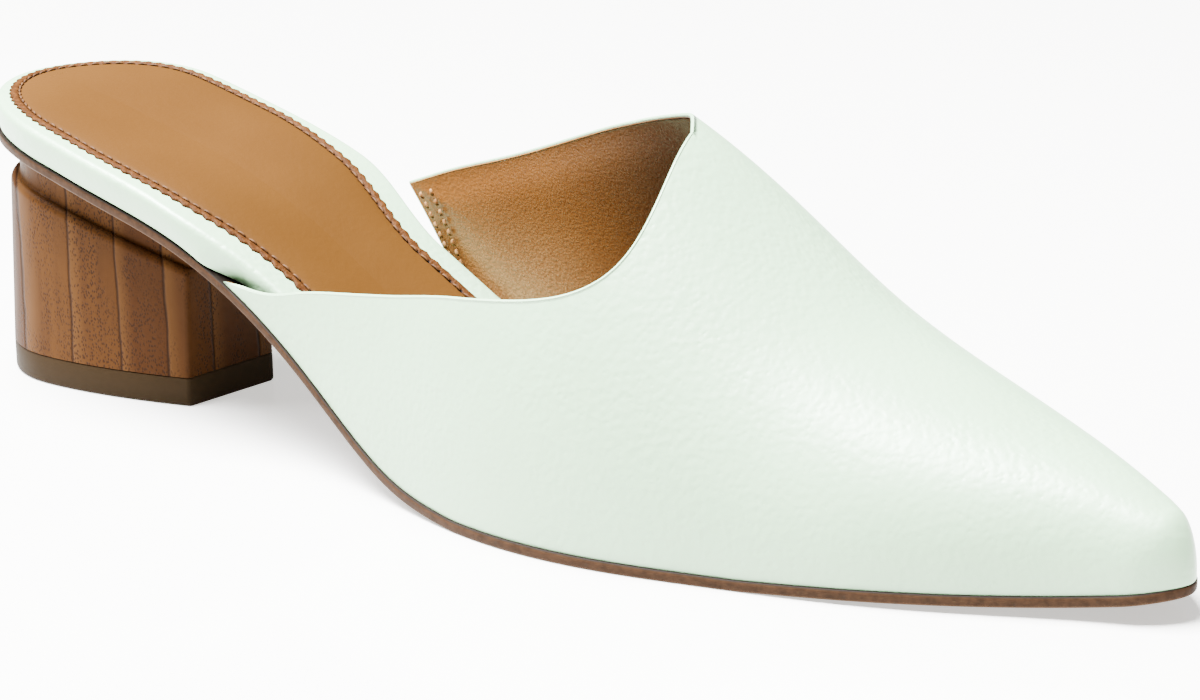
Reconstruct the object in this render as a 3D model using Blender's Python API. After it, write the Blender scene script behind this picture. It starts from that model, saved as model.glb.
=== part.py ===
# A pointed mule for the right foot, with a wrapped footbed and a carved block heel.
# Metres, +Z up, +X from heel to toe, -Y the shoe's outer side. The floor is z = 0,
# and the origin is the middle of the top lift's worn face.

import math

import bmesh
import bpy
import numpy as np

MM = 0.001

# Driving sizes

LENGTH = 268 * MM            # back of the outsole to the toe's tip
HEEL_SETBACK = 30 * MM       # back of the outsole to the middle of the heel
SEAT_WIDTH = 48.5 * MM       # outsole across the heel seat
BALL_WIDTH = 75.5 * MM       # outsole across the ball
SEAT_ROUND = 28 * MM         # depth of the round at the back
TOE_ROUND = 9 * MM           # depth of the round at the tip
SEAT_HEIGHT = 46.5 * MM      # floor to the outsole's underside at the back
TOE_SPRING = 4.6 * MM        # floor to the outsole's underside at the tip
INSTEP_HEIGHT = 68 * MM      # floor to the top of the throat
TOE_DEPTH = 9.5 * MM         # upper above the outsole at the tip
NOSE_ROUND = 5 * MM          # depth over which the toe's top rounds down

OUTSOLE_THICK = 2.0 * MM
OUTSOLE_EDGE = 0.4 * MM      # soft corner of the outsole's edge
FOOTBED_THICK = 6.6 * MM     # wrapped footbed at the seat
FOOTBED_THIN = 3.0 * MM      # the same under the toes
FOOTBED_PROUD = 2.6 * MM     # footbed past the outsole along the seat's sides
FOOTBED_BACK = 0.2 * MM      # and at the very back
FOOTBED_GROW = 8 * MM        # distance over which the one grows to the other
FOOTBED_SHIFT = 1.3 * MM     # footbed further towards the inner side than the outsole
FOOTBED_EDGE = 1.3 * MM      # radius of its wrapped top corner
FOOTBED_TOE = 6 * MM         # how much shorter still the footbed is at the toe
SOCK_THICK = 0.8 * MM
SOCK_MARGIN = 3.1 * MM       # footbed left bare round the sock
SOCK_WAIST = (1.7 * MM, 2.8 * MM)    # more left bare from the waist on, outer and inner side
WALL = 1.6 * MM              # upper and lining together
FEATHER = 0.5 * MM           # upper's lower edge inside the outsole's edge
GAP = 0.3 * MM               # between pieces that touch
EASE = 1.3 * MM              # between the footbed's side and the upper's wall

LIFT_HEIGHT = 5.7 * MM       # rubber top lift
LIFT_EDGE = 0.5 * MM
HEEL_LENGTH = 54.4 * MM      # of the block at the lift
HEEL_WIDTH = 41 * MM
BREAST_WIDTH = 21.6 * MM     # of its flat front face
HEEL_BACK = 27.4 * MM        # back of the block to the origin
BACK_ROUND = 20 * MM         # depth of the round at the back of the block
HEEL_TURN = 8.0              # degrees that the block is turned towards the outer side
HEEL_TAPER = 1.6             # more keeps the block wide for longer towards the breast
HEEL_DRAFT = 1.2 * MM        # block narrower at its ridge than at the lift, all round
COVE_BACK = 7.6 * MM         # ridge below the outsole at the back
COVE_FRONT = 13.0 * MM       # the same at the breast
COVE_DEPTH = 1.8 * MM        # hollow carved in above the ridge
RIDGE_ROUND = 1.6 * MM       # soft shoulder of that ridge
BREAST_SHARE = 0.8           # how much of the draft and the cove is left at the breast

# Section tables

# Each row is a station. along is a share of LENGTH. middle is how far the outline's middle
# lies towards the inner side, a share of BALL_WIDTH. The width is seat times SEAT_WIDTH plus
# ball times BALL_WIDTH.
OUTLINE = {
    "along": (0.00, 0.07, 0.15, 0.25, 0.35, 0.45, 0.55, 0.64, 0.72, 0.80, 0.88, 0.95, 1.00),
    "middle": (0.020, 0.012, -0.013, -0.029, -0.026, -0.053, -0.086, -0.054,
               -0.023, -0.017, -0.020, -0.038, -0.061),
    "seat": (0.88, 0.95, 1.00, 0.985, 0.65, 0.25, 0.00, 0.00, 0.00, 0.00, 0.00, 0.00, 0.00),
    "ball": (0.000, 0.000, 0.000, 0.018, 0.288, 0.666, 0.940, 1.000,
             0.945, 0.808, 0.580, 0.327, 0.170),
}

# Height of the outsole's underside: seat is a share of SEAT_HEIGHT and toe one of TOE_SPRING.
# Where both are below zero the sole lies flat on the floor.
PROFILE = {
    "along": (0.00, 0.07, 0.15, 0.25, 0.35, 0.45, 0.50, 0.55, 0.64, 0.72, 0.80, 0.88, 0.95, 1.00),
    "seat": (1.000, 0.985, 0.900, 0.735, 0.396, 0.062, 0.010, -0.010, -0.03,
             -0.03, -0.03, -0.03, -0.03, -0.03),
    "toe": (-0.30, -0.30, -0.30, -0.30, -0.30, -0.30, -0.30, -0.30, -0.20,
            -0.04, 0.14, 0.30, 0.58, 1.00),
}

# The last above the sole. Crown height above the floor is instep times INSTEP_HEIGHT, or above
# the sole tip times TOE_DEPTH. ridge is how far the crown lies towards the inner side of the
# outline's middle, a share of BALL_WIDTH. fullness is 2 for an ellipse, more for squarer sides.
LAST = {
    "along": (0.25, 0.35, 0.45, 0.55, 0.61, 0.66, 0.72, 0.80, 0.88, 0.95, 1.00),
    "instep": (1.32, 1.28, 1.22, 1.118, 0.990, 0.838, 0.653, 0.494, 0.394, 0.205, 0.000),
    "tip": (0.0, 0.0, 0.0, 0.0, 0.0, 0.0, 0.0, 0.0, 0.0, 0.50, 1.00),
    "ridge": (0.03, 0.04, 0.06, 0.08, 0.085, 0.08, 0.06, 0.04, 0.02, 0.01, 0.00),
    "fullness": (2.00, 2.00, 2.00, 2.00, 2.00, 2.05, 2.10, 2.20, 2.30, 2.40, 2.50),
}

# Topline from each wing's back end to the peak of the throat. up is 0 at the sole's edge
# and 1 on the crown. foot is the share of LENGTH at the sole's edge that each point stands over.
OUTER_TOPLINE = {
    "along": (0.286, 0.312, 0.356, 0.397, 0.437, 0.496, 0.550, 0.586,
              0.610, 0.623, 0.627, 0.625, 0.618, 0.610),
    "up": (0.004, 0.040, 0.130, 0.205, 0.262, 0.323, 0.370, 0.420,
           0.485, 0.565, 0.660, 0.755, 0.880, 1.000),
    "foot": (0.284, 0.306, 0.354, 0.400, 0.446, 0.510, 0.568, 0.608,
             0.640, 0.666, 0.688, 0.705, 0.722, 0.735),
}
INNER_TOPLINE = {
    "along": (0.306, 0.350, 0.396, 0.451, 0.508, 0.549, 0.576, 0.592, 0.610),
    "up": (0.127, 0.239, 0.337, 0.443, 0.547, 0.642, 0.740, 0.840, 1.000),
    "foot": (0.345, 0.382, 0.426, 0.476, 0.530, 0.575, 0.616, 0.670, 0.735),
}
OUTER, INNER = 0, 1

# Where the footbed's edges draw in, from standing proud to lying inside the wings. Each pair is
# a start and an end, as shares of LENGTH, for the outer side and then the inner side.
TOP_DRAWS_IN = ((0.235, 0.340), (0.250, 0.340))
FOOT_DRAWS_IN = ((0.248, 0.286), (0.270, 0.335))
SOCK_DRAWS_IN = (0.180, 0.280)
THINS_FROM = 0.50            # the footbed thins from here
THINS_TO = 0.80              # to here

# The block's wall above its ridge, ring by ring. cut is a share of COVE_DEPTH. Height below
# the outsole is drop times the ridge's own drop, less round times RIDGE_ROUND.
COVE = {
    "cut": (0.00, 0.20, 0.67, 1.00, 1.00, 0.60),
    "drop": (1.00, 1.00, 1.00, 1.00, 0.30, 0.00),
    "round": (0.00, 0.70, 1.00, 1.40, 0.00, 0.00),
}

STATIONS = 73                # rows along each sole layer
EDGE_STEPS = 4               # rings round the footbed's wrapped corner
WING_ROWS = 24               # rows of the upper behind the peak, on each side
VAMP_ROWS = 24               # rows in front of it
UPPER_COLUMNS = 12           # from the sole's edge to the crown
HEEL_STEPS = 22              # points along each side of the block
PROBE = 0.02 * MM            # step used to measure slopes
SHARP_ANGLE = 40.0           # degrees between faces that are shaded as a corner


# Curves

def spline(xs, ys, x):
    """Natural cubic through the points (xs, ys), read at x."""
    xs, ys, x = np.array(xs), np.array(ys), np.asarray(x, float)
    step = np.diff(xs)
    slope = np.diff(ys) / step
    matrix = np.eye(len(xs))
    right = np.zeros(len(xs))
    for i in range(1, len(xs) - 1):
        matrix[i, i - 1:i + 2] = step[i - 1], 2 * (step[i - 1] + step[i]), step[i]
        right[i] = 6 * (slope[i] - slope[i - 1])
    bend = np.linalg.solve(matrix, right)
    i = np.clip(np.searchsorted(xs, x) - 1, 0, len(step) - 1)
    before, after = xs[i + 1] - x, x - xs[i]
    cubic = (bend[i] * before ** 3 + bend[i + 1] * after ** 3) / (6 * step[i])
    line = (ys[i] / step[i] - bend[i] * step[i] / 6) * before
    return cubic + line + (ys[i + 1] / step[i] - bend[i + 1] * step[i] / 6) * after


def read(table, column, x):
    """A table's column at the distance x from the back of the outsole."""
    return spline(table["along"], table[column], np.asarray(x) / LENGTH)


def middle(x):
    return BALL_WIDTH * read(OUTLINE, "middle", x)


def full_width(x):
    """The outsole's width before its ends are rounded."""
    x = np.clip(x, 0, LENGTH)
    return SEAT_WIDTH * read(OUTLINE, "seat", x) + BALL_WIDTH * read(OUTLINE, "ball", x)


def half_width(x, back_end=0.0, tip_end=LENGTH, outset=0.0):
    """Half the width of a layer between its ends, closed by a round at each."""
    back = np.clip(1 - (x - back_end) / (SEAT_ROUND - back_end), 0, 1)
    tip = np.clip(1 - (tip_end - x) / TOE_ROUND, 0, 1)
    return (full_width(x) / 2 + outset) * np.sqrt(1 - back ** 2) * np.sqrt(1 - tip ** 2)


def underside(x):
    """Height of the outsole's underside above the floor."""
    seat = SEAT_HEIGHT * read(PROFILE, "seat", x)
    toe = TOE_SPRING * read(PROFILE, "toe", x)
    return np.maximum(0, np.maximum(seat, toe))


def clearance(x):
    """GAP measured square to the sole, as a height."""
    slope = (underside(x + PROBE) - underside(x - PROBE)) / (2 * PROBE)
    return GAP * np.sqrt(1 + slope ** 2)


def footbed_thickness(x):
    """Full at the seat and thinner ahead of the ball."""
    return FOOTBED_THICK + (FOOTBED_THIN - FOOTBED_THICK) * ease_in(x, THINS_FROM, THINS_TO)


def ease_in(x, start, end):
    """0 behind the share start of LENGTH, 1 ahead of the share end, smooth between."""
    share = np.clip((x / LENGTH - start) / (end - start), 0, 1)
    return share ** 2 * (3 - 2 * share)


def last_point(along, up, side):
    """Outer face of the upper, a superellipse arch over each station.

    side is -1 outer, +1 inner; up runs from 0 at the sole's edge to 1 on the crown.
    """
    x = np.minimum(along, 1) * LENGTH
    half = half_width(x, outset=-FEATHER)
    ridge = BALL_WIDTH * read(LAST, "ridge", x)
    low = underside(x) + OUTSOLE_THICK + clearance(x)
    crown = INSTEP_HEIGHT * read(LAST, "instep", x) + (low + TOE_DEPTH) * read(LAST, "tip", x)
    nose = np.clip(1 - (LENGTH - x) / NOSE_ROUND, 0, 1)
    rise = (crown - low) * np.sqrt(1 - nose ** 2)
    power = 2 / read(LAST, "fullness", x)
    reach = half - side * ridge
    y = middle(x) + ridge + side * reach * np.cos(up * math.pi / 2).clip(0) ** power
    z = low + rise * np.sin(up * math.pi / 2).clip(0) ** power
    return np.stack([x - HEEL_SETBACK, y, z], -1)


def lining_point(along, up, side):
    """Inner face, WALL behind last_point and square to it."""
    step = PROBE / LENGTH
    along_at = np.clip(along, step, 1 - 2 * step)
    forward = last_point(along_at + step, up, side) - last_point(along_at - step, up, side)
    low_up, high_up = np.maximum(up - step, 0), np.minimum(up + step, 1)
    across = last_point(along_at, high_up, side) - last_point(along_at, low_up, side)
    normal = np.cross(forward, across) * -side
    normal /= np.linalg.norm(normal, axis=-1)[..., None]
    normal[up >= 1, 1] = 0
    normal[along >= 1] = (1, 0, 0)
    normal /= np.linalg.norm(normal, axis=-1)[..., None]
    return last_point(along, up, side) - WALL * normal


# Mesh helpers

def material(name, colour, roughness):
    found = bpy.data.materials.new(name)
    found.use_nodes = True
    shader = found.node_tree.nodes["Principled BSDF"]
    shader.inputs["Base Color"].default_value = (*colour, 1)
    shader.inputs["Roughness"].default_value = roughness
    shader.inputs["Metallic"].default_value = 0
    return found


def add_object(name, points, faces, finish):
    """One closed mesh, with points that fall together made one."""
    mesh = bpy.data.meshes.new(name)
    mesh.from_pydata([tuple(point) for point in points], [], faces)
    work = bmesh.new()
    work.from_mesh(mesh)
    bmesh.ops.remove_doubles(work, verts=work.verts, dist=0.001 * MM)
    bmesh.ops.recalc_face_normals(work, faces=work.faces)
    work.to_mesh(mesh)
    work.free()
    mesh.shade_smooth()
    mesh.set_sharp_from_angle(angle=math.radians(SHARP_ANGLE))
    mesh.materials.append(finish)
    found = bpy.data.objects.new(name, mesh)
    bpy.context.scene.collection.objects.link(found)
    return found


def grid_faces(rows, columns, wrap):
    """Quads between neighbouring rows; wrap closes each row on itself."""
    faces = []
    for i in range(rows - 1):
        for j in range(columns if wrap else columns - 1):
            k = (j + 1) % columns
            faces.append((i * columns + j, i * columns + k,
                          (i + 1) * columns + k, (i + 1) * columns + j))
    return faces


# Sole layers

def footbed_shift(x):
    """How far the footbed lies towards the inner side, none where the wings hold it."""
    return FOOTBED_SHIFT * (1 - ease_in(x, *TOP_DRAWS_IN[OUTER]))


def outline(tip_end, outset, shift):
    """Both edges of a layer that stands outset(x, side) past the outsole's outline."""
    back_end = -outset(np.zeros(1), OUTER)[0]
    tip_end = tip_end + outset(np.full(1, LENGTH), OUTER)[0]
    turn = np.linspace(0, math.pi, STATIONS)
    x = back_end + (tip_end - back_end) * (1 - np.cos(turn)) / 2
    outer, inner = [half_width(x, back_end, tip_end, outset(x, side)) for side in (OUTER, INNER)]
    y = middle(np.clip(x, 0, LENGTH)) + shift(x)
    return np.column_stack([x, y - outer]), np.column_stack([x, y + inner])


def sole_layer(name, tip_end, rings, finish, shift, columns=4):
    """A layer with the shoe's outline. Each ring is (outset(x, side), height(x)), from below."""
    edges = [(*outline(tip_end, outset, shift), height) for outset, height in rings]
    loop = []
    share = np.linspace(0, 1, columns + 1)[1:-1]

    def lifted(plan, height):
        return np.column_stack([plan[:, 0] - HEEL_SETBACK, plan[:, 1], height(plan[:, 0])])

    for outer, _, height in reversed(edges):
        loop.append(lifted(outer, height))
    outer, inner, height = edges[0]
    loop += [lifted(outer + (inner - outer) * s, height) for s in share]
    for _, inner, height in edges:
        loop.append(lifted(inner, height))
    outer, inner, height = edges[-1]
    loop += [lifted(inner + (outer - inner) * s, height) for s in share]
    points = np.stack(loop, 1)
    return add_object(name, points.reshape(-1, 3),
                      grid_faces(STATIONS, points.shape[1], True), finish)


def build_outsole(finish):
    def soft(x, side):
        return np.full_like(x, -OUTSOLE_EDGE)

    def full(x, side):
        return np.zeros_like(x)

    rings = [
        (soft, underside),
        (full, lambda x: underside(x) + OUTSOLE_EDGE),
        (full, lambda x: underside(x) + OUTSOLE_THICK),
    ]
    return sole_layer("outsole", LENGTH, rings, finish, np.zeros_like)


def seat_proud(x):
    """Overhang of the footbed's top edge round the seat."""
    grown = 1 - np.exp(-np.clip(x, 0, None) / FOOTBED_GROW)
    return FOOTBED_BACK + (FOOTBED_PROUD - FOOTBED_BACK) * grown


def footbed_outset(x, side):
    """Top edge: proud of the outsole round the seat, inside the upper's wall further forward."""
    inside = FEATHER + WALL + EASE
    return seat_proud(x) - (seat_proud(x) + inside) * ease_in(x, *TOP_DRAWS_IN[side])


def footbed_foot(x, side):
    """Bottom edge: half as proud, and inside each wing where that leaves the sole."""
    inside = FEATHER + WALL + EASE
    proud = seat_proud(x) / 2
    return proud - (proud + inside) * ease_in(x, *FOOT_DRAWS_IN[side])


def footbed_base(x):
    return underside(x) + OUTSOLE_THICK + clearance(x)


def footbed_top(x):
    return footbed_base(x) + footbed_thickness(x)


def build_footbed(finish):
    rings = [(footbed_foot, footbed_base)]
    for turn in np.linspace(0, math.pi / 2, EDGE_STEPS):
        inset = FOOTBED_EDGE * (1 - math.cos(turn))
        drop = FOOTBED_EDGE * (1 - math.sin(turn))
        rings.append((lambda x, side, inset=inset: footbed_outset(x, side) - inset,
                      lambda x, drop=drop: footbed_top(x) - drop))
    return sole_layer("footbed", LENGTH - FOOTBED_TOE, rings, finish, footbed_shift)


def build_sock(finish):
    def outset(x, side):
        waist = SOCK_WAIST[side] * ease_in(x, *SOCK_DRAWS_IN)
        return footbed_outset(x, side) - SOCK_MARGIN - waist

    rings = [(outset, lambda x: footbed_top(x) + clearance(x)),
             (outset, lambda x: footbed_top(x) + clearance(x) + SOCK_THICK)]
    return sole_layer("sock", LENGTH - FOOTBED_TOE, rings, finish, footbed_shift)


# Heel

def heel_half_width(share):
    """Half the block's width at a share of its length: a round back, narrowing to the breast."""
    widest = BACK_ROUND / HEEL_LENGTH
    back = np.clip(1 - share / widest, 0, 1)
    front = np.clip((share - widest) / (1 - widest), 0, 1)
    narrowing = 1 - (1 - BREAST_WIDTH / HEEL_WIDTH) * front ** HEEL_TAPER
    return HEEL_WIDTH / 2 * np.sqrt(1 - back ** 2) * narrowing


def heel_ring(outset):
    """Footprint of the block: outer side from the breast to the back, then the inner side."""
    turn = np.linspace(0, math.pi / 2, HEEL_STEPS)
    share = 1 - np.cos(turn)
    half = heel_half_width(share)
    side = np.stack([share * HEEL_LENGTH - HEEL_BACK, half], -1)
    loop = np.concatenate([side[::-1] * (1, -1), side[1:]])
    along = np.gradient(loop, axis=0)
    along /= np.linalg.norm(along, axis=1)[:, None]
    normal = np.stack([-along[:, 1], along[:, 0]], -1)
    loop = loop + normal * np.broadcast_to(outset(share_of(loop)), len(loop))[:, None]
    loop[[0, -1], 0] = loop[[0, -1], 0].mean()
    angle = -math.radians(HEEL_TURN)
    cos, sin = math.cos(angle), math.sin(angle)
    return loop @ np.array([[cos, sin], [-sin, cos]])


def share_of(loop):
    """How far forward along the block each point lies, from 0 at its back to 1 at its breast."""
    return np.clip((loop[:, 0] + HEEL_BACK) / HEEL_LENGTH, 0, 1)


def build_heel(finish):
    def wall(amount):
        return lambda share: amount * (1 - (1 - BREAST_SHARE) * share)

    def ceiling(ring):
        x = ring[:, 0] + HEEL_SETBACK
        return underside(x) - clearance(x)

    foot = heel_ring(wall(0.0))
    rings = [np.column_stack([foot, np.full(len(foot), LIFT_HEIGHT + GAP)])]
    for cut, drop, turn in zip(COVE["cut"], COVE["drop"], COVE["round"]):
        ring = heel_ring(wall(-HEEL_DRAFT - cut * COVE_DEPTH))
        ridge_drop = COVE_BACK + (COVE_FRONT - COVE_BACK) * share_of(ring)
        height = ceiling(ring) - drop * ridge_drop + turn * RIDGE_ROUND
        rings.append(np.column_stack([ring, height]))
    return add_prism("heel", rings, finish)


def build_top_lift(finish):
    rings = []
    for outset, height in ((-LIFT_EDGE, 0.0), (0.0, LIFT_EDGE), (0.0, LIFT_HEIGHT)):
        ring = heel_ring(lambda share, outset=outset: outset)
        rings.append(np.column_stack([ring, np.full(len(ring), height)]))
    return add_prism("top_lift", rings, finish)


def add_prism(name, rings, finish):
    """A solid through rings of equal length, its ends closed by strips across the block."""
    count = len(rings[0])
    faces = grid_faces(len(rings), count, True)
    last = (len(rings) - 1) * count
    for i in range(count // 2):
        strip = (i, i + 1, count - 2 - i, count - 1 - i)
        if i + 1 == count // 2:
            strip = (i, i + 1, count - 1 - i)
        faces.append(strip[::-1])
        faces.append(tuple(last + k for k in strip))
    return add_object(name, np.concatenate(rings), faces, finish)


# Upper

def curve_points(table, count):
    """A topline's columns at points spaced evenly from its back end to the peak."""
    rows = np.column_stack([table["along"], table["up"]])
    length = np.concatenate([[0], np.cumsum(np.linalg.norm(np.diff(rows, axis=0), axis=1))])
    at = np.linspace(0, length[-1], count)
    return [spline(length, table[column], at) for column in ("along", "up", "foot")]


def half_upper(topline, side):
    """Rows from the sole's edge up to the topline, and in front of the peak up to the crown.

    Gives the outer face and the lining's face as grids of the same shape.
    """
    along, up, foot = curve_points(topline, WING_ROWS)
    front = np.sin(np.linspace(0, math.pi / 2, VAMP_ROWS))[1:]
    along = np.concatenate([along, along[-1] + (1 - along[-1]) * front])
    up = np.concatenate([up, np.ones(VAMP_ROWS - 1)])
    foot = np.concatenate([foot, foot[-1] + (1 - foot[-1]) * front])
    share = np.linspace(0, 1, UPPER_COLUMNS)
    across = foot[:, None] + (along - foot)[:, None] * share
    height = up[:, None] * share
    return last_point(across, height, side), lining_point(across, height, side)


def build_upper(finish):
    """Both faces of the upper, closed along the sole's edge and along the topline."""
    outer_side = half_upper(OUTER_TOPLINE, -1)
    inner_side = half_upper(INNER_TOPLINE, 1)
    faces = [np.concatenate([a, b[:, ::-1]], 1) for a, b in zip(outer_side, inner_side)]
    rows, columns = faces[0].shape[:2]
    count = rows * columns
    index = np.arange(count).reshape(rows, columns)
    quads = []
    for i in range(rows - 1):
        for j in range(columns - 1):
            if i < WING_ROWS - 1 and j == UPPER_COLUMNS - 1:
                continue
            quads.append((index[i, j], index[i, j + 1], index[i + 1, j + 1], index[i + 1, j]))
    inside = [tuple(count + k for k in quad[::-1]) for quad in quads]
    left, right = index[:WING_ROWS, UPPER_COLUMNS - 1], index[:WING_ROWS, UPPER_COLUMNS]
    foot = [*index[:, 0], *index[::-1, -1]]
    collar = [*index[0, :UPPER_COLUMNS - 1:-1], *right, *left[::-1], *index[0, UPPER_COLUMNS - 1::-1]]
    border = foot + collar
    rim = [(a, b, count + b, count + a) for a, b in zip(border, border[1:]) if a != b]
    return add_object("upper", np.concatenate([face.reshape(-1, 3) for face in faces]),
                      quads + inside + rim, finish)


def build_shoe():
    for old in list(bpy.data.objects):
        bpy.data.objects.remove(old)
    mint = material("mint leather", (0.76, 0.83, 0.76), 0.42)
    tan = material("tan leather", (0.50, 0.25, 0.09), 0.55)
    edge = material("brown sole", (0.22, 0.13, 0.08), 0.6)
    wood = material("stacked wood", (0.32, 0.15, 0.06), 0.5)
    rubber = material("brown rubber", (0.12, 0.075, 0.04), 0.6)
    build_top_lift(rubber)
    build_heel(wood)
    build_outsole(edge)
    build_footbed(mint)
    build_sock(tan)
    build_upper(mint)


build_shoe()
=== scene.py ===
import math

import bpy
import numpy as np
from mathutils import Matrix, Vector


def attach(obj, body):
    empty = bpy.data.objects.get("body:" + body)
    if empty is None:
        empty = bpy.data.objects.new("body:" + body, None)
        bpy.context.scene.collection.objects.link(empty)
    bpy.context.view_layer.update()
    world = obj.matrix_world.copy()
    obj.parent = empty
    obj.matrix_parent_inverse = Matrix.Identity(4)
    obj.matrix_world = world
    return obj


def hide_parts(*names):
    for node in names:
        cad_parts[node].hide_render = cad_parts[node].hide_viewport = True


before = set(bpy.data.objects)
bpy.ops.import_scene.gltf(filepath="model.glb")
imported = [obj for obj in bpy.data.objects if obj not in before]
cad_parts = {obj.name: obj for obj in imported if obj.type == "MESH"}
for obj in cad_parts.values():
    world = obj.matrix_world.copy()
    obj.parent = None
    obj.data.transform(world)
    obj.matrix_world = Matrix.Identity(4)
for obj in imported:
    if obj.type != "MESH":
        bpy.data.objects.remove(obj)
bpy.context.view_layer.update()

# Sizes are in millimetres. x runs from the back of the outsole to the toe inside the shape
# functions, and the row frame's origin lies setback further forward. What draws, thins or lies
# along is a share of the length.
# footbed: sunk is how far its lower face lies below its base, and underRise how high its lower
# rounding reaches. upper: tuck and sink take the feathered edge inwards and down to the sole,
# bare is the part of the fold outside the lining, behind the gap between the two, and skived
# the distance over which the wall thins towards the collar.
mm = 0.001
shoe = {"length": 268, "setback": 30, "seat": 48.5, "ball": 75.5, "seatRound": 28, "toeRound": 9,
        "seatHeight": 46.5, "toeSpring": 4.6, "instep": 68, "toeDepth": 9.5, "noseRound": 5,
        "gap": 0.3, "probe": 0.02}
outsole = {"thick": 2.0, "corner": 0.45, "topCorner": 0.3, "bulge": 0.05, "lowLevel": 0.2,
           "highLevel": 0.86, "stations": 420}
footbed = {"thick": 6.6, "thin": 3.0, "proud": 2.6, "atBack": 0.2, "grow": 8, "shift": 1.3,
           "corner": 1.35, "underCorner": 1.5, "underRise": 0.825, "sunk": 0.25, "bulge": 0.25,
           "shorter": 6, "ease": 1.3, "thinsFrom": 0.50, "thinsTo": 0.80,
           "topDraws": ((0.235, 0.340), (0.250, 0.340)),
           "footDraws": ((0.262, 0.298), (0.270, 0.335)), "stations": 420}
sock = {"margin": 3.1, "waist": (1.7, 2.8), "draws": (0.180, 0.280), "tooth": 2.4, "deep": 0.32,
        "biteFade": 1.5, "pinkedTo": 70, "pinkFade": 8, "seam": 1.8, "core": (20, 228),
        "dip": 0.45, "steps": 2600, "stations": 900}
upper = {"wall": 1.6, "feather": 0.5, "fold": 0.36, "foldSteps": 8, "foldBack": (0.5, 1.0),
         "foldGrows": 4, "foldLeast": 0.15, "tuck": 0.25, "sink": 0.5, "bare": 0.15,
         "behind": 0.14, "thinned": 0.12, "skived": 5.0, "liningLip": ((0.08, -0.06), (0.12, -0.3)),
         "wingRows": 170, "vampRows": 170, "columns": 72, "sideRow": 40}
stitch = {"around": 8, "along": 9, "blunt": 0.6, "sag": 0.25}
sockSeam = {"radius": 0.26, "reach": 0.36, "up": 0.24, "endsAt": 110}
wingSeam = {"radius": 0.36, "reach": 0.75, "up": 0.1, "pitch": 2.1, "top": 1.2, "foot": 1.4,
            "rows": (4, 9)}
heel = {"length": 54.4, "width": 41, "breast": 21.6, "back": 27.4, "backRound": 20, "turn": 8.0,
        "taper": 1.6, "draft": 1.2, "coveBack": 7.6, "coveFront": 13.0, "coveDepth": 2.0,
        "ridge": 1.9, "roundCut": 0.72, "roundUp": 0.95, "hollowUp": 0.45, "breastShare": 0.8,
        "corner": 0.35, "seated": 0.12, "under": 0.1, "steps": 120, "breastSteps": 24}
lift = {"height": 5.7, "corner": 0.6}
prismEnds = {"share": 0.3, "sharp": 38}

outlineTable = {
    "along": (0.00, 0.07, 0.15, 0.25, 0.35, 0.45, 0.55, 0.64, 0.72, 0.80, 0.88, 0.95, 1.00),
    "middle": (0.020, 0.012, -0.013, -0.029, -0.026, -0.053, -0.086, -0.054,
               -0.023, -0.017, -0.020, -0.038, -0.061),
    "seat": (0.88, 0.95, 1.00, 0.985, 0.65, 0.25, 0.00, 0.00, 0.00, 0.00, 0.00, 0.00, 0.00),
    "ball": (0.000, 0.000, 0.000, 0.018, 0.288, 0.666, 0.940, 1.000,
             0.945, 0.808, 0.580, 0.327, 0.170),
}
profileTable = {
    "along": (0.00, 0.07, 0.15, 0.25, 0.35, 0.45, 0.50, 0.55, 0.64, 0.72, 0.80, 0.88, 0.95, 1.00),
    "seat": (1.000, 0.985, 0.900, 0.735, 0.396, 0.062, 0.010, -0.010, -0.03,
             -0.03, -0.03, -0.03, -0.03, -0.03),
    "toe": (-0.30, -0.30, -0.30, -0.30, -0.30, -0.30, -0.30, -0.30, -0.20,
            -0.04, 0.14, 0.30, 0.58, 1.00),
}
lastTable = {
    "along": (0.25, 0.35, 0.45, 0.55, 0.61, 0.66, 0.72, 0.80, 0.88, 0.95, 1.00),
    "instep": (1.32, 1.28, 1.22, 1.118, 0.990, 0.838, 0.653, 0.494, 0.394, 0.205, 0.000),
    "tip": (0.0, 0.0, 0.0, 0.0, 0.0, 0.0, 0.0, 0.0, 0.0, 0.50, 1.00),
    "ridge": (0.03, 0.04, 0.06, 0.08, 0.085, 0.08, 0.06, 0.04, 0.02, 0.01, 0.00),
    "fullness": (2.00, 2.00, 2.00, 2.00, 2.00, 2.05, 2.10, 2.20, 2.30, 2.40, 2.50),
}
outerTopline = {
    "along": (0.286, 0.312, 0.356, 0.397, 0.437, 0.496, 0.550, 0.586,
              0.610, 0.623, 0.627, 0.625, 0.618, 0.610),
    "up": (0.004, 0.040, 0.130, 0.205, 0.262, 0.323, 0.370, 0.420,
           0.485, 0.565, 0.660, 0.755, 0.880, 1.000),
    "foot": (0.284, 0.306, 0.354, 0.400, 0.446, 0.510, 0.568, 0.608,
             0.640, 0.666, 0.688, 0.705, 0.722, 0.735),
}
innerTopline = {
    "along": (0.306, 0.350, 0.396, 0.451, 0.508, 0.549, 0.576, 0.592, 0.610),
    "up": (0.127, 0.239, 0.337, 0.443, 0.547, 0.642, 0.740, 0.840, 1.000),
    "foot": (0.345, 0.382, 0.426, 0.476, 0.530, 0.575, 0.616, 0.670, 0.735),
}
# The sock's rings from its edge inwards: inset from the edge and height above the footbed.
sockRings = {
    "inset": (0.0, 0.0, 0.08, 0.25, 0.6, 1.0, 1.35, 1.6, 1.8, 2.0, 2.25, 2.6, 3.3, 4.5, 6.5, 9.0),
    "up": (-0.15, 0.20, 0.36, 0.48, 0.56, 0.54, 0.42, 0.22, 0.14, 0.18, 0.30, 0.40, 0.47, 0.56,
           0.62, 0.60),
}
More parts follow.
